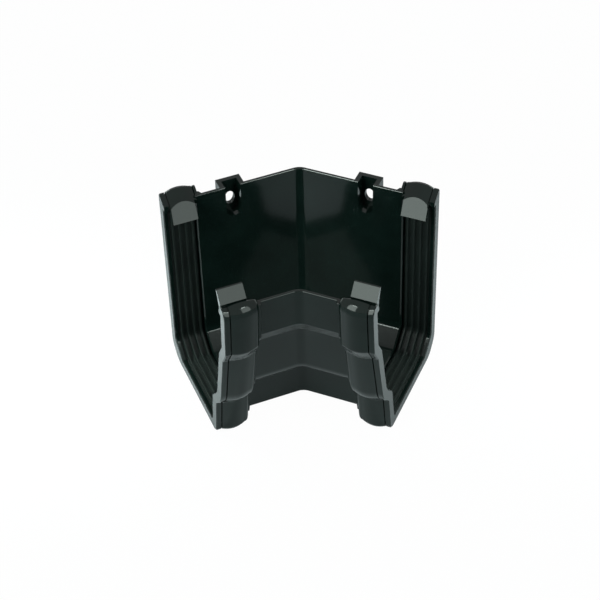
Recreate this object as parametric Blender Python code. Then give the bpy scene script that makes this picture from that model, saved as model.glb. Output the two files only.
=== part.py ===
"""Internal 135 degree gutter angle, moulded in one piece, with a ribbed rubber seal in each socket.

The two arms run to +X and -X and both turn towards -Y. The part rests on Z = 0, and at the end it
is moved so that the middle of its box stands over the origin. Until then the back wall's corner is
the origin, and a place on an arm is given by three numbers: along, the distance from the corner
along the back wall; forward, the distance in front of the trough's outer back face; and height.
The outline of the trough is one list of corners, and the sockets are that outline grown outwards.
"""
import math
from typing import Callable, NamedTuple, Optional

import bmesh
import bpy
from mathutils import Vector

MM = 0.001

# No corner's rounding takes more than this share of the sides next to it
ROUND_SHARE = 0.49

# Arms and corner
ARM_LENGTH = 70.3 * MM
HALF_TURN = math.radians(22.5)
BEND_RADIUS = 7.0 * MM
BEND_STEPS = 3

# Trough outline, outer faces
WALL = 1.7 * MM
BACK_HEIGHT = 96.5 * MM
FRONT_HEIGHT = 90.8 * MM
HEEL_RISE = 7.6 * MM
HEEL_REACH = 9.0 * MM
FLOOR_WIDTH = 53.2 * MM
PLINTH_HEIGHT = 20.4 * MM
PLINTH_LEAN = 3.2 * MM
KNEE_RISE = 8.2 * MM
KNEE_REACH = 7.7 * MM
BAND_HEIGHT = 32.7 * MM
BAND_LEAN = 7.3 * MM
STEP_RISE = 7.6 * MM
STEP_REACH = 4.7 * MM
LIP_LEAN = 1.7 * MM
EDGE_ROUND = 0.5 * MM
EDGE_STEPS = 3
HEEL_ROUND = 5.2 * MM
RAMP_ROUND = 6.0 * MM
FOOT_ROUND = 1.6 * MM
CREASE_ROUND = 1.2 * MM
KNEE_ROUND = 14.0 * MM
STEP_ROUND = 2.0 * MM

# Socket, grown from the trough outline
SOCKET_LENGTH = 17.3 * MM
SOCKET_GROWTH = 5.5 * MM
SOCKET_HEEL = 3.8 * MM
SOCKET_HEEL_ROUND = 9.0 * MM
SOCKET_FOOT_ROUND = 3.6 * MM
SOCKET_CREASE_ROUND = 0.9 * MM
SOCKET_KNEE_ROUND = 19.0 * MM
SOCKET_STEP_ROUND = 3.4 * MM
CROWN = 1.2 * MM
CROWN_STEPS = 8
COLLAR_WIDTH = 1.5 * MM
COLLAR_GROWTH = 1.8 * MM
SHOULDER_RADIUS = 2.4 * MM
SHOULDER_STEPS = 4
FLANGE_WIDTH = 2.5 * MM
GROOVE_WIDTH = 0.6 * MM
GROOVE_DEPTH = 0.8 * MM
GROOVE_DRAFT = 0.1 * MM
RIM_EDGE = 0.5 * MM
RIM_WIDTH = 5.6 * MM
LAND_LENGTH = 2.0 * MM
STOP_WIDTH = 1.3 * MM
SHELL = 2.9 * MM

# Back clip: a sloped roof over the socket's back wall, with a snap face at its front
CLIP_WIDTH = 12.4 * MM
CLIP_END_MARGIN = 2.7 * MM
CLIP_SEAT_DROP = 4.0 * MM
ROOF_PITCH = math.radians(33.0)
ROOF_RISE = 3.5 * MM
ROOF_ROUND = 1.4 * MM
ROOF_REACH = 2.0 * MM
SNAP_LEAN = math.radians(26.6)
SNAP_REACH = 7.1 * MM
SNAP_DROP = 9.5 * MM
SNAP_THICKNESS = 1.8 * MM
WEB_THICKNESS = 1.2 * MM

# Front clip: a rolled bead on the socket's front wall, and a barbed tongue behind it
BEAD_SEAT_DROP = 1.0 * MM
BEAD_WIDTH = 7.6 * MM
BEAD_HEIGHT = 4.2 * MM
BEAD_INNER_SHARE = 0.25
BEAD_STEPS = 8
TONGUE_RISE = 10.6 * MM
TONGUE_BASE = 2.2 * MM
TONGUE_TIP = 0.9 * MM
TONGUE_LEAN = 3.7 * MM
TONGUE_INSET = 0.3 * MM
BARB_REACH = 4.5 * MM
BARB_DROP = 5.5 * MM
BARB_UNDERCUT = 1.0 * MM

# Fixing lugs
LUG_TO_SOCKET = 11.8 * MM
LUG_WIDTH = 12.3 * MM
LUG_DEPTH = 6.5 * MM
LUG_HEIGHT = 25.0 * MM
LUG_PLATE = 2.3 * MM
LUG_TOP_DROP = 0.3 * MM
POCKET_DEPTH = 18.0 * MM
HOLE_WIDTH = 5.0 * MM
HOLE_HEIGHT = 7.6 * MM
HOLE_DROP = 11.2 * MM
HOLE_STEPS = 10

# Seals
SEAL_CLEARANCE = 0.3 * MM
SEAL_BASE = 1.5 * MM
SEAL_RIBS = 4
SEAL_RIB_WIDTH = 1.5 * MM
SEAL_PROUD = 0.5 * MM
SEAL_END_DROP = 3.0 * MM

# Places that follow from the sizes above
FLOOR = SOCKET_GROWTH + CROWN
BACK_TOP = FLOOR + BACK_HEIGHT
FRONT_TOP = FLOOR + FRONT_HEIGHT
SOCKET_START = ARM_LENGTH - SOCKET_LENGTH
LUG_ALONG = SOCKET_START - LUG_TO_SOCKET - LUG_WIDTH / 2
LAND_GROWTH = SOCKET_GROWTH - RIM_WIDTH
RECESS_GROWTH = SOCKET_GROWTH - SHELL
RECESS_END = ARM_LENGTH - LAND_LENGTH
RECESS_START = SOCKET_START + STOP_WIDTH


class Corner(NamedTuple):
    """A corner of the trough outline, with its rounding on the trough and on the socket."""

    forward: float
    height: float
    trough_radius: float = 0.0
    socket_radius: float = 0.0
    steps: int = 0


class Station(NamedTuple):
    """One place in the wall's section: how far it is grown, where it stands, which top it has."""

    growth: float
    place: Callable[[float, float], Vector]
    role: str


def trough_corners(share: float) -> list[Corner]:
    """Return the corners of the outline from the back wall's top to the front lip.

    Args:
        share: 0 on the trough and 1 on the socket, whose heel between back wall and floor is smaller.

    Returns:
        The corners in order, with heights above the ground.
    """
    heel_rise = HEEL_RISE + (SOCKET_HEEL - HEEL_RISE) * share
    heel_reach = HEEL_REACH + (SOCKET_HEEL - HEEL_REACH) * share
    corners = [
        Corner(0.0, BACK_TOP),
        Corner(0.0, FLOOR + heel_rise, HEEL_ROUND, SOCKET_HEEL_ROUND, 4),
        Corner(heel_reach, FLOOR, RAMP_ROUND, SOCKET_HEEL_ROUND, 4),
        Corner(FLOOR_WIDTH, FLOOR, FOOT_ROUND, SOCKET_FOOT_ROUND, 4),
    ]
    steps = (
        (PLINTH_LEAN, PLINTH_HEIGHT, CREASE_ROUND, SOCKET_CREASE_ROUND, 2),
        (KNEE_REACH, KNEE_RISE, KNEE_ROUND, SOCKET_KNEE_ROUND, 5),
        (BAND_LEAN, BAND_HEIGHT, CREASE_ROUND, SOCKET_CREASE_ROUND, 2),
        (STEP_REACH, STEP_RISE, STEP_ROUND, SOCKET_STEP_ROUND, 4),
    )
    for reach, rise, trough_radius, socket_radius, count in steps:
        last = corners[-1]
        corners.append(Corner(last.forward + reach, last.height + rise, trough_radius, socket_radius, count))
    corners.append(Corner(corners[-1].forward + LIP_LEAN, FRONT_TOP))
    return corners


def outward(start: Corner, end: Corner) -> Vector:
    """Return the unit normal of an outline segment, pointing out of the trough.

    Args:
        start: Corner where the segment begins.
        end: Corner where it ends.

    Returns:
        The normal as a 2-D vector of forward and height.
    """
    direction = Vector((end.forward - start.forward, end.height - start.height)).normalized()
    return Vector((direction.y, -direction.x))


def rounded_corner(point: Vector, before: Vector, after: Vector, radius: float, steps: int) -> list[Vector]:
    """Return the points of an arc that rounds one corner.

    Args:
        point: The sharp corner.
        before: Outward normal of the segment that arrives.
        after: Outward normal of the segment that leaves.
        radius: Radius of the arc.
        steps: Number of chords.

    Returns:
        The arc's points in the direction of travel.
    """
    turn = before.angle(after)
    convex = before.x * after.y - before.y * after.x > 0.0
    side = -1.0 if convex else 1.0
    centre = point + (before + after) / (1.0 + before.dot(after)) * radius * side
    normals = [
        (before * math.sin(turn * (1.0 - step / steps)) + after * math.sin(turn * step / steps)) / math.sin(turn)
        for step in range(steps + 1)
    ]
    return [centre - normal * radius * side for normal in normals]


def level_cut(point: Vector, normal: Vector, height: float) -> Vector:
    """Return where the line through a point, square to a normal, reaches a height."""
    forward = point.x - normal.y * (height - point.y) / normal.x
    return Vector((forward, height))


def outline(growth: float, back_top: float, front_top: float) -> list[Vector]:
    """Return the trough outline moved outwards, from the back's top to the front's top.

    Args:
        growth: Distance outwards from the trough's outer face; negative is inside.
        back_top: Height at which the back wall ends.
        front_top: Height at which the front wall ends.

    Returns:
        Points of forward and height.
    """
    share = growth / SOCKET_GROWTH
    corners = trough_corners(share)
    normals = [outward(start, end) for start, end in zip(corners, corners[1:])]
    normals = normals[:1] + normals + normals[-1:]
    moved = []
    for corner, before, after in zip(corners, normals, normals[1:]):
        offset = (before + after) * growth / (1.0 + before.dot(after))
        moved.append(Vector((corner.forward, corner.height)) + offset)
    points = [level_cut(moved[0], normals[0], back_top)]
    for index in range(1, len(corners) - 1):
        corner = corners[index]
        before, after = normals[index], normals[index + 1]
        radius = corner.trough_radius + (corner.socket_radius - corner.trough_radius) * share
        room = min((moved[index] - moved[index - 1]).length, (moved[index + 1] - moved[index]).length)
        radius = min(radius, ROUND_SHARE * room / math.tan(before.angle(after) / 2))
        points += rounded_corner(moved[index], before, after, radius, corner.steps)
    points.append(level_cut(moved[-1], normals[-1], front_top))
    return points


def arm_place(along: float) -> Callable[[float, float], Vector]:
    """Return a function that places forward and height on the +X arm at one distance along it."""

    def place(forward: float, height: float) -> Vector:
        return Vector((
            along * math.cos(HALF_TURN) - forward * math.sin(HALF_TURN),
            -along * math.sin(HALF_TURN) - forward * math.cos(HALF_TURN),
            height,
        ))

    return place


def bend_place(angle: float) -> Callable[[float, float], Vector]:
    """Return a function that places forward and height on the rounded bend, at an angle from +Y."""

    def place(forward: float, height: float) -> Vector:
        centre = -(forward + BEND_RADIUS) / math.cos(HALF_TURN)
        return Vector((BEND_RADIUS * math.sin(angle), centre + BEND_RADIUS * math.cos(angle), height))

    return place


def mirrored(station: Station) -> Station:
    """Return the same station on the -X arm."""

    def place(forward: float, height: float) -> Vector:
        right = station.place(forward, height)
        return Vector((-right.x, right.y, right.z))

    return Station(station.growth, place, station.role)


def crown_growth(along: float) -> float:
    """Return how far the socket's crowned band stands out at a distance along the arm."""
    start = SOCKET_START + SHOULDER_RADIUS
    end = ARM_LENGTH - FLANGE_WIDTH - GROOVE_WIDTH
    share = (along - start) / (end - start)
    return SOCKET_GROWTH + CROWN * (1.0 - (2.0 * share - 1.0) ** 2)


def band_section() -> list[tuple[float, float]]:
    """Return the socket's outer skin, from the shoulder to the end face, as along and growth."""
    start = SOCKET_START + SHOULDER_RADIUS
    end = ARM_LENGTH - FLANGE_WIDTH - GROOVE_WIDTH
    section = []
    for step in range(SHOULDER_STEPS):
        angle = math.pi / 2 * step / SHOULDER_STEPS
        rise = SOCKET_GROWTH - SHOULDER_RADIUS * (1.0 - math.sin(angle))
        section.append((start - SHOULDER_RADIUS * math.cos(angle), rise))
    for step in range(CROWN_STEPS + 1):
        along = start + (end - start) * step / CROWN_STEPS
        section.append((along, crown_growth(along)))
    section += [
        (end + GROOVE_DRAFT, SOCKET_GROWTH - GROOVE_DEPTH),
        (end + GROOVE_WIDTH - GROOVE_DRAFT, SOCKET_GROWTH - GROOVE_DEPTH),
        (end + GROOVE_WIDTH, SOCKET_GROWTH),
        (ARM_LENGTH - RIM_EDGE, SOCKET_GROWTH),
        (ARM_LENGTH, SOCKET_GROWTH - RIM_EDGE),
    ]
    return section


def arm_stations() -> list[Station]:
    """Return the section of the +X arm's wall, from the outside of the bend round to its inside."""
    angles = [HALF_TURN * step / BEND_STEPS for step in range(1, BEND_STEPS + 1)]
    collar = SOCKET_START - COLLAR_WIDTH
    stations = [Station(0.0, bend_place(angle), "trough") for angle in angles]
    for along, growth in ((collar - COLLAR_GROWTH / 2, 0.0), (collar, COLLAR_GROWTH)):
        stations.append(Station(growth, arm_place(along), "trough"))
    stations.append(Station(COLLAR_GROWTH, arm_place(SOCKET_START), "seam"))
    stations += [Station(growth, arm_place(along), "socket") for along, growth in band_section()]
    inside = (
        (ARM_LENGTH, LAND_GROWTH + RIM_EDGE),
        (ARM_LENGTH - RIM_EDGE, LAND_GROWTH),
        (RECESS_END, LAND_GROWTH),
        (RECESS_END, RECESS_GROWTH),
        (RECESS_START, RECESS_GROWTH),
    )
    stations += [Station(growth, arm_place(along), "socket") for along, growth in inside]
    stations.append(Station(EDGE_ROUND - WALL, arm_place(RECESS_START), "seam"))
    stations.append(Station(-WALL, arm_place(RECESS_START - EDGE_ROUND), "trough"))
    stations += [Station(-WALL, bend_place(angle), "trough") for angle in reversed(angles)]
    return stations


def rounded_top(top: float, growth: float) -> list[tuple[float, float]]:
    """Return the rows that round a wall's top edge, highest first, as height and growth.

    Args:
        top: Height of the edge.
        growth: Growth of the face that the edge ends; inner and outer faces round towards each other.

    Returns:
        Pairs of height and growth.
    """
    inward = -1.0 if growth > -WALL / 2 else 1.0
    rows = []
    for step in range(EDGE_STEPS):
        angle = math.pi / 2 * (1.0 - step / EDGE_STEPS)
        drop = EDGE_ROUND * (1.0 - math.sin(angle))
        rows.append((top - drop, growth + inward * EDGE_ROUND * (1.0 - math.cos(angle))))
    return rows


def top_rows(bm: bmesh.types.BMesh, station: Station, top: float, at_back: bool) -> list[bmesh.types.BMVert]:
    """Add one station's verts along a top edge, highest first.

    Args:
        bm: Mesh to add to.
        station: Station on the trough or on its seam with a socket.
        top: Height of the edge.
        at_back: True for the back wall, False for the front one.

    Returns:
        The new verts.
    """
    verts = []
    for height, growth in rounded_top(top, station.growth):
        if station.role == "seam":
            growth = station.growth
        points = outline(growth, height, height)
        end = points[0] if at_back else points[-1]
        verts.append(bm.verts.new(station.place(end.x, end.y)))
    return verts


def add_cap(bm: bmesh.types.BMesh, columns: list, roles: list[str], row: str) -> None:
    """Close the trough's top edge with one flat face, and each seam with an upright one."""
    rims = [column[row] for column, role in zip(columns, roles) if role != "socket"]
    bm.faces.new([rim[0] for rim in rims])
    core = 0 if row == "back" else -1
    seams = [index for index, role in enumerate(roles) if role == "seam"]
    for first, last in ((seams[0], seams[1]), (seams[2], seams[3])):
        outer, inner = columns[first], columns[last]
        bm.faces.new(outer[row] + [outer["core"][core], inner["core"][core]] + inner[row][::-1])
        bm.faces.new([column["core"][core] for column in columns[first:last + 1]])


def body_mesh() -> bpy.types.Mesh:
    """Build the trough and both sockets as one swept wall.

    Returns:
        A closed mesh.
    """
    right = arm_stations()
    outer_middle = Station(0.0, bend_place(0.0), "trough")
    inner_middle = Station(-WALL, bend_place(0.0), "trough")
    left = [mirrored(station) for station in reversed(right)]
    stations = [outer_middle] + right + [inner_middle] + left
    roles = [station.role for station in stations]
    bm = bmesh.new()
    columns = []
    for station in stations:
        points = outline(station.growth, BACK_TOP - CLIP_SEAT_DROP, FRONT_TOP - BEAD_SEAT_DROP)
        column = {"core": [bm.verts.new(station.place(point.x, point.y)) for point in points]}
        if station.role != "socket":
            column["back"] = top_rows(bm, station, BACK_TOP, True)
            column["front"] = top_rows(bm, station, FRONT_TOP, False)
        columns.append(column)
    for index, column in enumerate(columns):
        other = columns[(index + 1) % len(columns)]
        strips = [(column["core"], other["core"])]
        if "back" in column and "back" in other:
            strips.append((column["back"] + column["core"][:1], other["back"] + other["core"][:1]))
            strips.append((column["front"] + column["core"][-1:], other["front"] + other["core"][-1:]))
        for strip, neighbour in strips:
            for row in range(len(strip) - 1):
                bm.faces.new((strip[row], strip[row + 1], neighbour[row + 1], neighbour[row]))
    for row in ("back", "front"):
        add_cap(bm, columns, roles, row)
    return finish_mesh(bm, "gutter_angle_body")


def finish_mesh(bm: bmesh.types.BMesh, name: str) -> bpy.types.Mesh:
    """Face a closed mesh outwards, shade it smooth up to its sharp edges and name it."""
    bmesh.ops.recalc_face_normals(bm, faces=bm.faces[:])
    if bm.calc_volume(signed=True) < 0.0:
        bmesh.ops.reverse_faces(bm, faces=bm.faces[:])
    mesh = bpy.data.meshes.new(name)
    bm.to_mesh(mesh)
    bm.free()
    mesh.shade_smooth()
    mesh.set_sharp_from_angle(angle=math.radians(28.0))
    return mesh


def loft_mesh(rings: list[list[Vector]], name: str, closed: bool = False) -> bpy.types.Mesh:
    """Skin a row of rings with equal point counts.

    Args:
        rings: Rings in order.
        name: Name of the mesh.
        closed: True where the last ring joins the first, False where both ends are capped.

    Returns:
        A closed mesh.
    """
    bm = bmesh.new()
    loops = [[bm.verts.new(point) for point in ring] for ring in rings]
    pairs = list(zip(loops, loops[1:]))
    if closed:
        pairs.append((loops[-1], loops[0]))
    else:
        bm.faces.new(loops[0])
        bm.faces.new(loops[-1])
    for ring, other in pairs:
        for index in range(len(ring)):
            following = (index + 1) % len(ring)
            bm.faces.new((ring[index], ring[following], other[following], other[index]))
    return finish_mesh(bm, name)


def add_object(name: str, mesh: bpy.types.Mesh, material: Optional[bpy.types.Material] = None) -> bpy.types.Object:
    """Link a mesh into the scene as a named object with one material."""
    target = bpy.data.objects.new(name, mesh)
    bpy.context.collection.objects.link(target)
    if material is not None:
        mesh.materials.append(material)
    return target


def add_guide(name: str, mesh: bpy.types.Mesh) -> bpy.types.Object:
    """Link a mesh that only serves a Boolean, on both arms, and keep it out of the part."""
    guide = add_object(name, mesh)
    guide.hide_render = True
    guide.display_type = "WIRE"
    mirror = guide.modifiers.new("both_arms", "MIRROR")
    mirror.use_mirror_merge = False
    return guide


def combine(target: bpy.types.Object, guide: bpy.types.Object, operation: str) -> None:
    """Add an exact Boolean with a guide to an object."""
    modifier = target.modifiers.new(guide.name, "BOOLEAN")
    modifier.operation = operation
    modifier.solver = "EXACT"
    modifier.object = guide


def prism(outline_points: list[Vector], start: float, end: float, name: str) -> bpy.types.Mesh:
    """Extrude an outline of forward and height along the +X arm.

    Args:
        outline_points: Corners of the outline.
        start: Distance along the arm where the prism begins.
        end: Distance where it ends.
        name: Name of the mesh.

    Returns:
        A closed mesh.
    """
    rings = [[arm_place(along)(point.x, point.y) for point in outline_points] for along in (start, end)]
    return loft_mesh(rings, name)


def clip_section(growth: float) -> list[Vector]:
    """Return the back clip's section where the socket is grown by a given distance.

    Args:
        growth: Growth of the socket's outer face at this place.

    Returns:
        Corners of forward and height: back, rounded ridge, roof, snap face and underside.
    """
    seat = BACK_TOP - CLIP_SEAT_DROP
    extra = growth - SOCKET_GROWTH
    roof_normal = Vector((math.sin(ROOF_PITCH), math.cos(ROOF_PITCH)))
    snap_normal = Vector((math.cos(SNAP_LEAN), math.sin(SNAP_LEAN)))
    ridge = Vector((-SOCKET_GROWTH, BACK_TOP + ROOF_RISE))
    snap_foot = Vector((SNAP_REACH, BACK_TOP - SNAP_DROP))
    roof_offset = roof_normal.dot(ridge) + extra
    corner = Vector((-growth, (roof_offset + growth * roof_normal.x) / roof_normal.y))
    ridge_round = max(ROOF_ROUND + extra, RIM_EDGE)
    points = [Vector((-growth, seat))]
    points += rounded_corner(corner, roof_normal, Vector((-1.0, 0.0)), ridge_round, 4)[::-1]
    snap_offset = snap_normal.dot(snap_foot)
    cross = roof_normal.x * snap_normal.y - roof_normal.y * snap_normal.x
    points.append(Vector((
        (roof_offset * snap_normal.y - snap_offset * roof_normal.y) / cross,
        (roof_normal.x * snap_offset - snap_normal.x * roof_offset) / cross,
    )))
    inner_foot = snap_foot - snap_normal * SNAP_THICKNESS
    points += [snap_foot, inner_foot, level_cut(inner_foot, snap_normal, seat)]
    return points


def build_back_clips(body: bpy.types.Object) -> None:
    """Join the roofed snap clips to the top of both sockets' back walls."""
    rings = []
    for along, growth in band_section():
        if growth < SOCKET_GROWTH - SHOULDER_RADIUS / 2 and along < SOCKET_START + SHOULDER_RADIUS:
            continue
        place = arm_place(along)
        rings.append([place(point.x, point.y) for point in clip_section(growth)])
    clip = add_object("back_clip_guide", loft_mesh(rings, "back_clip_guide"))
    end = ARM_LENGTH - CLIP_END_MARGIN
    front = SNAP_REACH + ROOF_REACH
    low = BACK_TOP - SNAP_DROP - ROOF_REACH
    high = BACK_TOP + ROOF_RISE + CROWN + ROOF_REACH
    block = [Vector((ROOF_REACH, low)), Vector((front, low)), Vector((front, high)), Vector((ROOF_REACH, high))]
    trims = {
        "clip_outer_trim": (end, ARM_LENGTH + LAND_LENGTH),
        "clip_inner_trim": (SOCKET_START - COLLAR_WIDTH, end - CLIP_WIDTH),
    }
    for name, (first, last) in trims.items():
        trim = add_object(name, prism(block, first, last, name))
        trim.hide_render = True
        trim.display_type = "WIRE"
        combine(clip, trim, "DIFFERENCE")
    clip.hide_render = True
    clip.display_type = "WIRE"
    mirror = clip.modifiers.new("both_arms", "MIRROR")
    mirror.use_mirror_merge = False
    combine(body, clip, "UNION")


def build_webs(body: bpy.types.Object) -> None:
    """Join a thin closing web to the inner end of each back clip."""
    reach = SOCKET_GROWTH - RIM_EDGE
    top = BACK_TOP + ROOF_RISE - RIM_EDGE
    slope = math.tan(ROOF_PITCH)
    web = [
        Vector((-WALL / 4, BACK_TOP - reach - WALL)),
        Vector((-reach, BACK_TOP - WALL)),
        Vector((-reach, top - ROOF_ROUND)),
        Vector((ROOF_ROUND - reach, top - ROOF_ROUND * slope)),
        Vector((-WALL / 4, top - (reach - WALL / 4) * slope)),
    ]
    start = SOCKET_START - WEB_THICKNESS / 2
    guide = add_guide("web_guide", prism(web, start, start + WEB_THICKNESS, "web_guide"))
    combine(body, guide, "UNION")


def bead_section(growth: float) -> list[Vector]:
    """Return the rolled bead's section where the socket is grown by a given distance."""
    seat = FRONT_TOP - BEAD_SEAT_DROP
    outer = outline(growth, BACK_TOP, seat)[-1]
    flange = outline(SOCKET_GROWTH, BACK_TOP, seat)[-1]
    inner = flange.x - BEAD_WIDTH - (outer.x - flange.x) * BEAD_INNER_SHARE
    half_width = (outer.x - inner) / 2
    height = (BEAD_HEIGHT + BEAD_SEAT_DROP) * half_width * 2 / BEAD_WIDTH
    angles = [math.pi * step / BEAD_STEPS for step in range(BEAD_STEPS + 1)]
    return [
        Vector((outer.x - half_width * (1.0 - math.cos(angle)), seat + height * math.sin(angle)))
        for angle in angles
    ]


def build_front_clips(body: bpy.types.Object) -> None:
    """Join the rolled bead and the barbed tongue to the top of both sockets' front walls."""
    rings = []
    for along, growth in [(SOCKET_START - COLLAR_WIDTH / 2, COLLAR_GROWTH / 2)] + band_section():
        place = arm_place(along)
        rings.append([place(point.x, point.y) for point in bead_section(growth)])
    combine(body, add_guide("bead_guide", loft_mesh(rings, "bead_guide")), "UNION")
    seat = FRONT_TOP - BEAD_SEAT_DROP
    flange = outline(SOCKET_GROWTH, BACK_TOP, seat)[-1]
    root = Vector((flange.x - BEAD_WIDTH + TONGUE_TIP, seat + TONGUE_TIP))
    tip = root + Vector((-TONGUE_LEAN, TONGUE_RISE))
    barb = tip + Vector((TONGUE_TIP + BARB_REACH, -BARB_DROP))
    tongue = [
        root,
        root + Vector((TONGUE_BASE, 0.0)),
        barb + Vector((-BARB_UNDERCUT, -BARB_UNDERCUT)),
        barb,
        tip + Vector((TONGUE_TIP, 0.0)),
        tip,
    ]
    end = ARM_LENGTH - TONGUE_INSET
    guide = add_guide("tongue_guide", prism(tongue, end - CLIP_WIDTH, end, "tongue_guide"))
    combine(body, guide, "UNION")


def build_lugs(body: bpy.types.Object) -> None:
    """Stand an open-topped fixing lug behind each arm's back wall, with its pocket and screw slot."""
    start = LUG_ALONG - LUG_WIDTH / 2
    low = BACK_TOP - LUG_HEIGHT
    high = BACK_TOP - LUG_TOP_DROP
    box = [
        Vector((WALL / 2, low)),
        Vector((WALL / 2, high)),
        Vector((-LUG_DEPTH, high)),
        Vector((-LUG_DEPTH, low + LUG_DEPTH)),
        Vector((0.0, low)),
    ]
    combine(body, add_guide("lug_guide", prism(box, start, start + LUG_WIDTH, "lug_guide")), "UNION")
    half = LUG_WIDTH / 2 - LUG_PLATE
    bottom = BACK_TOP - POCKET_DEPTH
    turns = [math.pi * step / HOLE_STEPS for step in range(HOLE_STEPS + 1)]
    slot = [(half * math.cos(turn), bottom + half - half * math.sin(turn)) for turn in turns]
    slot += [(-half, BACK_TOP + LUG_PLATE), (half, BACK_TOP + LUG_PLATE)]
    rings = [
        [arm_place(LUG_ALONG + across)(forward, height) for across, height in slot]
        for forward in (LUG_PLATE - LUG_DEPTH, WALL * 2)
    ]
    combine(body, add_guide("pocket_guide", loft_mesh(rings, "pocket_guide")), "DIFFERENCE")
    centre = BACK_TOP - HOLE_DROP
    turns = [2.0 * math.pi * step / (2 * HOLE_STEPS) for step in range(2 * HOLE_STEPS)]
    hole = [(HOLE_WIDTH / 2 * math.cos(turn), centre + HOLE_HEIGHT / 2 * math.sin(turn)) for turn in turns]
    rings = [
        [arm_place(LUG_ALONG + across)(forward, height) for across, height in hole]
        for forward in (-LUG_DEPTH - LUG_PLATE, WALL - LUG_DEPTH + LUG_PLATE)
    ]
    combine(body, add_guide("hole_guide", loft_mesh(rings, "hole_guide")), "DIFFERENCE")


def seal_section() -> list[tuple[float, float]]:
    """Return the seal's section, base first and then its ribs, as along and growth."""
    first = RECESS_START + SEAL_CLEARANCE
    last = RECESS_END - SEAL_CLEARANCE
    base = RECESS_GROWTH - SEAL_CLEARANCE
    floor = base - SEAL_BASE
    crest = LAND_GROWTH - SEAL_PROUD
    section = [(last, base), (first, base), (first, floor)]
    pitch = (last - first) / SEAL_RIBS
    for rib in range(SEAL_RIBS):
        centre = first + pitch * (rib + 0.5)
        section += [
            (centre - SEAL_RIB_WIDTH / 2, floor),
            (centre - SEAL_RIB_WIDTH / 4, crest),
            (centre + SEAL_RIB_WIDTH / 4, crest),
            (centre + SEAL_RIB_WIDTH / 2, floor),
        ]
    section.append((last, floor))
    return section


def seal_mesh(name: str, side: int) -> bpy.types.Mesh:
    """Sweep the seal's section round the socket.

    Args:
        name: Name of the mesh.
        side: 1 for the +X arm, -1 for the -X arm.

    Returns:
        A closed mesh.
    """
    columns = []
    for along, growth in seal_section():
        place = arm_place(along)
        points = outline(growth, BACK_TOP - CLIP_SEAT_DROP - SEAL_END_DROP,
                         FRONT_TOP - BEAD_SEAT_DROP - SEAL_END_DROP)
        columns.append([place(point.x, point.y) for point in points])
    rings = [[Vector((point.x * side, point.y, point.z)) for point in ring] for ring in zip(*columns)]
    return loft_mesh(rings, name)


def plain_material(name: str, colour: tuple[float, float, float], roughness: float) -> bpy.types.Material:
    """Return a Principled material without metal."""
    material = bpy.data.materials.new(name)
    material.use_nodes = True
    shader = material.node_tree.nodes["Principled BSDF"]
    shader.inputs["Base Color"].default_value = (*colour, 1.0)
    shader.inputs["Roughness"].default_value = roughness
    shader.inputs["Metallic"].default_value = 0.0
    material.diffuse_color = (*colour, 1.0)
    return material


def centre_over_origin(body: bpy.types.Object) -> None:
    """Move every object alike, so that the middle of the body's box stands over the origin."""
    solid = body.evaluated_get(bpy.context.evaluated_depsgraph_get())
    depths = [corner[1] for corner in solid.bound_box]
    for target in bpy.data.objects:
        target.location.y = -(min(depths) + max(depths)) / 2
    bpy.context.view_layer.update()


def main() -> None:
    """Clear the scene and build the moulding and its two seals."""
    for leftover in list(bpy.data.objects):
        bpy.data.objects.remove(leftover, do_unlink=True)
    plastic = plain_material("black_pvcu", (0.012, 0.015, 0.015), 0.28)
    rubber = plain_material("black_rubber", (0.02, 0.021, 0.022), 0.6)
    body = add_object("gutter_angle_body", body_mesh(), plastic)
    build_back_clips(body)
    build_webs(body)
    build_front_clips(body)
    build_lugs(body)
    for name, side in (("seal_right", 1), ("seal_left", -1)):
        add_object(name, seal_mesh(name, side), rubber)
    centre_over_origin(body)


main()
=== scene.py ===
"""Studio picture of a black 135 degree gutter angle with a ribbed rubber seal in each socket."""

import logging
import math
from dataclasses import dataclass
from enum import Enum

import bpy
from mathutils import Matrix, Vector

MM = 0.001
IMAGE_SIZE = 600
SENSOR = 36.0

# A noise texture runs from 0 to 1, but most of its values lie in this range.
NOISE_LOW = 0.3
NOISE_HIGH = 0.7

WELD_DISTANCE = 0.005 * MM
ROUNDING_SEGMENTS = 2
WHITE = (1.0, 1.0, 1.0, 1.0)

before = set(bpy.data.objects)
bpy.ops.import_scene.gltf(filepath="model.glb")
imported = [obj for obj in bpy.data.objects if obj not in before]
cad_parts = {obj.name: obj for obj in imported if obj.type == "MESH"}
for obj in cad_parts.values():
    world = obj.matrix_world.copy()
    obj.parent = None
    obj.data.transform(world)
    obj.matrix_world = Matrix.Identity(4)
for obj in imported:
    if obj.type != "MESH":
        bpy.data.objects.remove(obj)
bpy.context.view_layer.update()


class Grain(Enum):
    """Surface textures that a mould or a die leaves."""

    POLISHED = "polished"
    EXTRUDED = "extruded"


@dataclass(frozen=True)
class Noise:
    """Fineness of one noise pattern.

    Attributes:
        scale: Waves per metre.
        detail: Octaves on top of them.
    """

    scale: float
    detail: float


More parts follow.
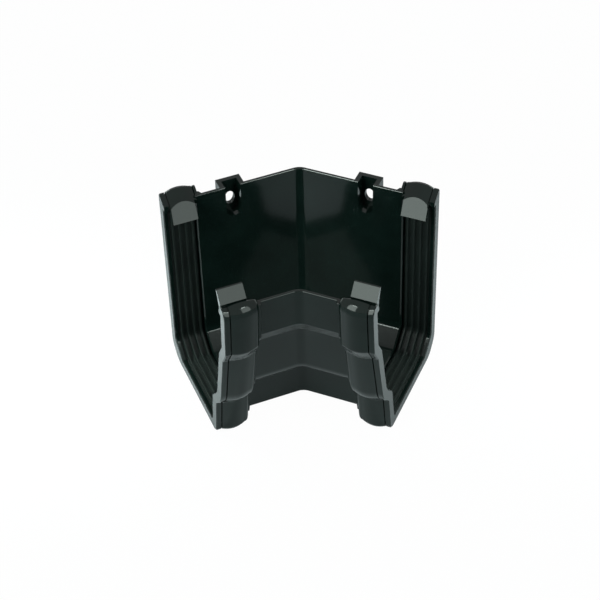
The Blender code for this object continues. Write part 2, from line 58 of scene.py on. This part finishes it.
@dataclass(frozen=True)
class Finish:
    """Procedural finish of one material, with fine colour, gloss and height variation.

    Attributes:
        name: Name of the material.
        colour: Linear base colour.
        roughness: Mean roughness.
        roughness_spread: How far the roughness strays to either side.
        specular: Specular level of the shader.
        bump: Height of the surface waviness, in metres.
        waves: Fineness of the waviness.
        grain: Texture left by the process.
        refraction: Refractive index.
        pigment: Fineness of the colour variation.
        pigment_shares: Shares of the base colour that the variation runs between.
        handling: Fineness of the handling marks.
        dust: Fineness of the dust.
        dust_range: Noise values between which the dust sets in and is full.
        dust_roughness: Roughness that full dust adds.
        drag_squeeze: Scale of the waviness along each axis on an extruded piece.
    """

    name: str
    colour: tuple[float, float, float]
    roughness: float
    roughness_spread: float
    specular: float
    bump: float
    waves: Noise
    grain: Grain
    refraction: float = 1.52
    pigment: Noise = Noise(60.0, 3.0)
    pigment_shares: tuple[float, float] = (0.8, 1.25)
    handling: Noise = Noise(35.0, 5.0)
    dust: Noise = Noise(1400.0, 2.0)
    dust_range: tuple[float, float] = (0.62, 0.8)
    dust_roughness: float = 0.08
    drag_squeeze: tuple[float, float, float] = (1.0, 1.0, 0.05)

    def build(self) -> bpy.types.Material:
        """Make the material's node tree.

        Returns:
            The finished material.
        """
        material = bpy.data.materials.new(self.name)
        material.use_nodes = True
        nodes = material.node_tree.nodes
        links = material.node_tree.links
        shader = nodes["Principled BSDF"]
        shader.inputs["Metallic"].default_value = 0.0
        shader.inputs["Specular IOR Level"].default_value = self.specular
        shader.inputs["IOR"].default_value = self.refraction
        places = nodes.new("ShaderNodeTexCoord").outputs["Object"]
        self._add_colour(nodes, links, shader, places)
        self._add_roughness(nodes, links, shader, places)
        self._add_height(nodes, links, shader, places)
        material.diffuse_color = (*self.colour, 1.0)
        return material

    def _pattern(self, nodes: bpy.types.Nodes, links: bpy.types.NodeLinks, places: bpy.types.NodeSocket,
                 noise: Noise) -> bpy.types.NodeSocket:
        """Add a noise texture in object space.

        Args:
            nodes: Nodes of the material.
            links: Links of the material.
            places: Socket with the texture coordinates.
            noise: Fineness of the noise.

        Returns:
            The noise's factor socket.
        """
        texture = nodes.new("ShaderNodeTexNoise")
        texture.inputs["Scale"].default_value = noise.scale
        texture.inputs["Detail"].default_value = noise.detail
        links.new(places, texture.inputs["Vector"])
        return texture.outputs["Fac"]

    def _add_colour(self, nodes: bpy.types.Nodes, links: bpy.types.NodeLinks, shader: bpy.types.Node,
                    places: bpy.types.NodeSocket) -> None:
        """Vary the base colour a little, as pigment that didn't mix quite evenly.

        Args:
            nodes: Nodes of the material.
            links: Links of the material.
            shader: The Principled shader.
            places: Socket with the texture coordinates.
        """
        ramp = nodes.new("ShaderNodeValToRGB")
        stops = zip(ramp.color_ramp.elements, self.pigment_shares, (NOISE_LOW, NOISE_HIGH))
        for element, share, position in stops:
            element.color = (*(min(1.0, channel * share) for channel in self.colour), 1.0)
            element.position = position
        links.new(self._pattern(nodes, links, places, self.pigment), ramp.inputs["Fac"])
        links.new(ramp.outputs["Color"], shader.inputs["Base Color"])

    def _add_roughness(self, nodes: bpy.types.Nodes, links: bpy.types.NodeLinks, shader: bpy.types.Node,
                       places: bpy.types.NodeSocket) -> None:
        """Vary the gloss with broad handling marks and fine dust.

        Args:
            nodes: Nodes of the material.
            links: Links of the material.
            shader: The Principled shader.
            places: Socket with the texture coordinates.
        """
        marks = nodes.new("ShaderNodeMapRange")
        marks.inputs["From Min"].default_value = NOISE_LOW
        marks.inputs["From Max"].default_value = NOISE_HIGH
        marks.inputs["To Min"].default_value = self.roughness - self.roughness_spread
        marks.inputs["To Max"].default_value = self.roughness + self.roughness_spread
        links.new(self._pattern(nodes, links, places, self.handling), marks.inputs["Value"])
        specks = nodes.new("ShaderNodeMapRange")
        specks.inputs["From Min"].default_value = self.dust_range[0]
        specks.inputs["From Max"].default_value = self.dust_range[1]
        specks.inputs["To Max"].default_value = self.dust_roughness
        links.new(self._pattern(nodes, links, places, self.dust), specks.inputs["Value"])
        total = nodes.new("ShaderNodeMath")
        total.operation = "ADD"
        links.new(marks.outputs["Result"], total.inputs[0])
        links.new(specks.outputs["Result"], total.inputs[1])
        links.new(total.outputs["Value"], shader.inputs["Roughness"])

    def _add_height(self, nodes: bpy.types.Nodes, links: bpy.types.NodeLinks, shader: bpy.types.Node,
                    places: bpy.types.NodeSocket) -> None:
        """Give the surface its faint waviness, drawn out upright on an extruded piece.

        Args:
            nodes: Nodes of the material.
            links: Links of the material.
            shader: The Principled shader.
            places: Socket with the texture coordinates.
        """
        bump = nodes.new("ShaderNodeBump")
        bump.inputs["Strength"].default_value = 1.0
        bump.inputs["Distance"].default_value = self.bump
        if self.grain is Grain.EXTRUDED:
            squeeze = nodes.new("ShaderNodeMapping")
            squeeze.inputs["Scale"].default_value = self.drag_squeeze
            links.new(places, squeeze.inputs["Vector"])
            places = squeeze.outputs["Vector"]
        links.new(self._pattern(nodes, links, places, self.waves), bump.inputs["Height"])
        links.new(bump.outputs["Normal"], shader.inputs["Normal"])


GLOSSY_BLACK = Finish(
    name="black_pvcu",
    colour=(0.0022, 0.005, 0.0043),
    roughness=0.10,
    roughness_spread=0.02,
    specular=0.185,
    bump=0.006 * MM,
    waves=Noise(180.0, 2.0),
    grain=Grain.POLISHED,
)
SATIN_RUBBER = Finish(
    name="black_rubber",
    colour=(0.004, 0.0065, 0.0058),
    roughness=0.5,
    roughness_spread=0.06,
    specular=0.15,
    bump=0.02 * MM,
    waves=Noise(900.0, 2.0),
    grain=Grain.EXTRUDED,
)


@dataclass
class DressedNode:
    """One solid of the model with what the picture adds to it.

    Attributes:
        node: Name of the node.
        edge_radius: Width of the rounding of its sharp edges, in metres.
        edge_angle: Smallest turn that counts as a sharp edge.
        finish: Its finish.
    """

    node: str
    edge_radius: float
    edge_angle: float
    finish: Finish

    def dress(self) -> bpy.types.Object:
        """Give the node its finish, round its sharp edges and shade the rest smooth.

        Returns:
            The dressed node.
        """
        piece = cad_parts[self.node]
        self._set_finish(piece)
        self._soften_edges(piece)
        return piece

    def _set_finish(self, piece: bpy.types.Object) -> None:
        """Put the finish on all of the node.

        Args:
            piece: The node's object.
        """
        material = self.finish.build()
        if not piece.material_slots:
            piece.data.materials.append(material)
        for slot in piece.material_slots:
            slot.material = material

    def _soften_edges(self, piece: bpy.types.Object) -> None:
        """Round the sharp edges with modifiers, and shade the rest smooth.

        Args:
            piece: The node's object.
        """
        weld = piece.modifiers.new("weld", "WELD")
        weld.merge_threshold = WELD_DISTANCE
        bevel = piece.modifiers.new("edge_rounding", "BEVEL")
        bevel.width = self.edge_radius
        bevel.segments = ROUNDING_SEGMENTS
        bevel.limit_method = "ANGLE"
        bevel.angle_limit = self.edge_angle
        bevel.harden_normals = False
        bevel.use_clamp_overlap = True
        bevel.miter_outer = "MITER_ARC"
        piece.data.shade_smooth()
        normals = piece.modifiers.new("even_normals", "WEIGHTED_NORMAL")
        normals.keep_sharp = True


@dataclass
class Moulding(DressedNode):
    """The black moulding: trough, sockets, clips and lugs in one piece."""

    node: str = "gutter_angle_body"
    edge_radius: float = 0.3 * MM
    edge_angle: float = math.radians(28.0)
    finish: Finish = GLOSSY_BLACK


@dataclass
class Seal(DressedNode):
    """One ribbed rubber seal."""

    edge_radius: float = 0.12 * MM
    edge_angle: float = math.radians(40.0)
    finish: Finish = SATIN_RUBBER


@dataclass
class SoftBoxPair:
    """Two rectangular studio lamps that mirror each other across the middle of the object.

    Attributes:
        name: Name of the lamps, with {side} in place of left or right.
        place: Where the right one hangs, in metres.
        aim: What the right one points at, in metres.
        width: Width of each face.
        height: Height of each face.
        left_power: Power of the left one, in watts.
        right_power: Power of the right one, in watts.
        spread: Angle in degrees that their grids let the light out at.
        tint: Colour of their light.
    """

    name: str
    place: tuple[float, float, float]
    aim: tuple[float, float, float]
    width: float
    height: float
    left_power: float
    right_power: float
    spread: float = 180.0
    tint: tuple[float, float, float] = (0.87, 1.0, 0.94)

    def build(self) -> None:
        """Hang the left lamp and then the right one."""
        self._hang("left", -1.0, self.left_power)
        self._hang("right", 1.0, self.right_power)

    def _hang(self, side: str, sign: float, power: float) -> None:
        """Hang one lamp and turn it to its aim.

        Args:
            side: Word for its side.
            sign: 1 for the right side, -1 for the left.
            power: Its power in watts.
        """
        name = self.name.format(side=side)
        light = bpy.data.lights.new(name, "AREA")
        light.shape = "RECTANGLE"
        light.size = self.width
        light.size_y = self.height
        light.energy = power
        light.color = self.tint
        light.spread = math.radians(self.spread)
        lamp = bpy.data.objects.new(name, light)
        bpy.context.scene.collection.objects.link(lamp)
        lamp.location = (sign * self.place[0], *self.place[1:])
        direction = Vector((sign * self.aim[0], *self.aim[1:])) - lamp.location
        lamp.rotation_euler = direction.to_track_quat("-Z", "Y").to_euler()


@dataclass
class Studio:
    """The white floor, the white surroundings and the lamps.

    Attributes:
        floor_size: Side of the square floor, in metres.
        floor_colour: Linear colour of the floor's paper.
        floor_glow: Share of white that the camera sees on the floor.
        mirrored_glow: Share of white that a gloss or a glass shows of the floor.
        sky_colour: Linear colour of the soft light from all around.
        sky_strength: Strength of that light.
        lamps: The lamps, in pairs.
    """

    floor_size: float = 6.0
    floor_colour: tuple[float, float, float] = (0.43, 0.44, 0.47)
    floor_glow: float = 0.98
    mirrored_glow: float = 0.05
    sky_colour: tuple[float, float, float] = (0.95, 1.0, 1.0)
    sky_strength: float = 0.15
    lamps: tuple[SoftBoxPair, ...] = (
        SoftBoxPair("front_{side}_box", place=(1.075, -0.985, 0.726), aim=(0.0, 0.0, 0.1),
                    width=0.9, height=1.276, left_power=32.5, right_power=18.5),
        SoftBoxPair("high_{side}_strip", place=(0.79, -0.79, 1.29), aim=(0.0, 0.0, 0.1),
                    width=0.5, height=0.11, left_power=7.0, right_power=7.0),
        SoftBoxPair("rear_{side}_box", place=(0.95, 1.05, 0.42), aim=(0.0, 0.0, 0.05),
                    width=0.9, height=0.8, left_power=7.0, right_power=4.5),
        SoftBoxPair("{side}_pool", place=(0.32, 0.09, 0.35), aim=(0.155, 0.03, 0.0),
                    width=0.12, height=0.12, left_power=0.33, right_power=0.18, spread=35.0),
    )

    def build(self) -> bpy.types.Object:
        """Set up the sky, the lamps and the floor.

        Returns:
            The floor.
        """
        self._build_sky()
        for pair in self.lamps:
            pair.build()
        return self._build_floor()

    def _seen_rays(self, nodes: bpy.types.Nodes, links: bpy.types.NodeLinks, straight: float,
                   mirrored: float) -> bpy.types.NodeSocket:
        """Pick out the rays that show the white background: straight, mirrored or through glass.

        Args:
            nodes: Nodes of the material or world.
            links: Links of the material or world.
            straight: Share of white that the camera sees.
            mirrored: Share of white that a gloss or a glass shows.

        Returns:
            Socket with the share of white for each ray.
        """
        ray = nodes.new("ShaderNodeLightPath")
        seen = None
        for kind, share in (("Is Camera Ray", straight), ("Is Glossy Ray", mirrored),
                            ("Is Transmission Ray", mirrored)):
            part = nodes.new("ShaderNodeMath")
            part.operation = "MULTIPLY"
            part.inputs[1].default_value = share
            links.new(ray.outputs[kind], part.inputs[0])
            if seen is None:
                seen = part.outputs["Value"]
                continue
            either = nodes.new("ShaderNodeMath")
            either.operation = "MAXIMUM"
            links.new(seen, either.inputs[0])
            links.new(part.outputs["Value"], either.inputs[1])
            seen = either.outputs["Value"]
        return seen

    def _build_floor(self) -> bpy.types.Object:
        """Lay the floor, which shows white to the camera and keeps a faint shadow.

        Returns:
            The floor.
        """
        half = self.floor_size / 2
        mesh = bpy.data.meshes.new("studio_floor")
        corners = [(-half, -half, 0.0), (half, -half, 0.0), (half, half, 0.0), (-half, half, 0.0)]
        mesh.from_pydata(corners, [], [(0, 1, 2, 3)])
        floor = bpy.data.objects.new("studio_floor", mesh)
        bpy.context.scene.collection.objects.link(floor)
        mesh.materials.append(self._paper())
        return floor

    def _paper(self) -> bpy.types.Material:
        """Make the floor's paper, whose white part glows only for the rays that show it.

        Returns:
            The paper's material.
        """
        material = bpy.data.materials.new("studio_white")
        material.use_nodes = True
        nodes = material.node_tree.nodes
        links = material.node_tree.links
        nodes.clear()
        paper = nodes.new("ShaderNodeBsdfDiffuse")
        paper.inputs["Color"].default_value = (*self.floor_colour, 1.0)
        glow = nodes.new("ShaderNodeEmission")
        glow.inputs["Color"].default_value = WHITE
        glow.inputs["Strength"].default_value = 1.0
        mix = nodes.new("ShaderNodeMixShader")
        links.new(self._seen_rays(nodes, links, self.floor_glow, self.mirrored_glow), mix.inputs["Fac"])
        links.new(paper.outputs["BSDF"], mix.inputs[1])
        links.new(glow.outputs["Emission"], mix.inputs[2])
        output = nodes.new("ShaderNodeOutputMaterial")
        links.new(mix.outputs["Shader"], output.inputs["Surface"])
        return material

    def _build_sky(self) -> None:
        """Surround the set with soft light that shows white to the camera and in reflections."""
        world = bpy.data.worlds.new("studio_sky")
        bpy.context.scene.world = world
        world.use_nodes = True
        nodes = world.node_tree.nodes
        links = world.node_tree.links
        nodes.clear()
        soft = nodes.new("ShaderNodeBackground")
        soft.inputs["Color"].default_value = (*self.sky_colour, 1.0)
        soft.inputs["Strength"].default_value = self.sky_strength
        white = nodes.new("ShaderNodeBackground")
        white.inputs["Color"].default_value = WHITE
        white.inputs["Strength"].default_value = 1.0
        mix = nodes.new("ShaderNodeMixShader")
        links.new(self._seen_rays(nodes, links, 1.0, 1.0), mix.inputs["Fac"])
        links.new(soft.outputs["Background"], mix.inputs[1])
        links.new(white.outputs["Background"], mix.inputs[2])
        output = nodes.new("ShaderNodeOutputWorld")
        links.new(mix.outputs["Shader"], output.inputs["Surface"])


@dataclass
class PhotoCamera:
    """The camera of the photograph, looking down on the open corner.

    Attributes:
        focal: Focal length in pixels of the 600 pixel picture.
        pitch: How far the camera looks down, in radians.
        yaw: How far it stands to the side, in radians.
        roll: How far it is turned about its own axis, in radians.
        target: What it looks at, in metres.
        distance: Distance from the target, in metres.
        nearest: Nearest distance that it shows, in metres.
        farthest: Farthest distance that it shows, in metres.
    """

    focal: float = 1787.5
    pitch: float = 0.7380
    yaw: float = 0.02418
    roll: float = 0.03215
    target: tuple[float, float, float] = (-0.507 * MM, 4.095 * MM, 58.766 * MM)
    distance: float = 861.63 * MM
    nearest: float = 0.01
    farthest: float = 20.0

    def build(self) -> bpy.types.Object:
        """Set the camera up and make it the scene's.

        Returns:
            The camera.
        """
        back = Vector((
            math.sin(self.yaw) * math.cos(self.pitch),
            -math.cos(self.yaw) * math.cos(self.pitch),
            math.sin(self.pitch),
        ))
        right = Vector((math.cos(self.yaw), math.sin(self.yaw), 0.0))
        up = back.cross(right)
        turned_right = right * math.cos(self.roll) - up * math.sin(self.roll)
        turned_up = right * math.sin(self.roll) + up * math.cos(self.roll)
        data = bpy.data.cameras.new("photo_camera")
        data.sensor_width = SENSOR
        data.lens = self.focal / IMAGE_SIZE * SENSOR
        data.clip_start = self.nearest
        data.clip_end = self.farthest
        camera = bpy.data.objects.new("photo_camera", data)
        bpy.context.scene.collection.objects.link(camera)
        place = Vector(self.target) + back * self.distance
        camera.matrix_world = Matrix((
            (turned_right.x, turned_up.x, back.x, place.x),
            (turned_right.y, turned_up.y, back.y, place.y),
            (turned_right.z, turned_up.z, back.z, place.z),
            (0.0, 0.0, 0.0, 1.0),
        ))
        bpy.context.scene.camera = camera
        return camera


def main() -> None:
    """Set up the camera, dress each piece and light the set."""
    logging.basicConfig(level=logging.INFO, format="%(message)s")
    log = logging.getLogger("gutter_angle")
    bpy.context.scene.view_settings.view_transform = "Standard"
    view = PhotoCamera()
    camera = view.build()
    log.info("%s stands %.0f mm away", camera.name, view.distance / MM)
    for piece in (Moulding(), Seal("seal_left"), Seal("seal_right")):
        dressed = piece.dress()
        log.info("%s dressed in %s", dressed.name, piece.finish.name)
    floor = Studio().build()
    log.info("%s laid", floor.name)


if __name__ == "__main__":
    main()
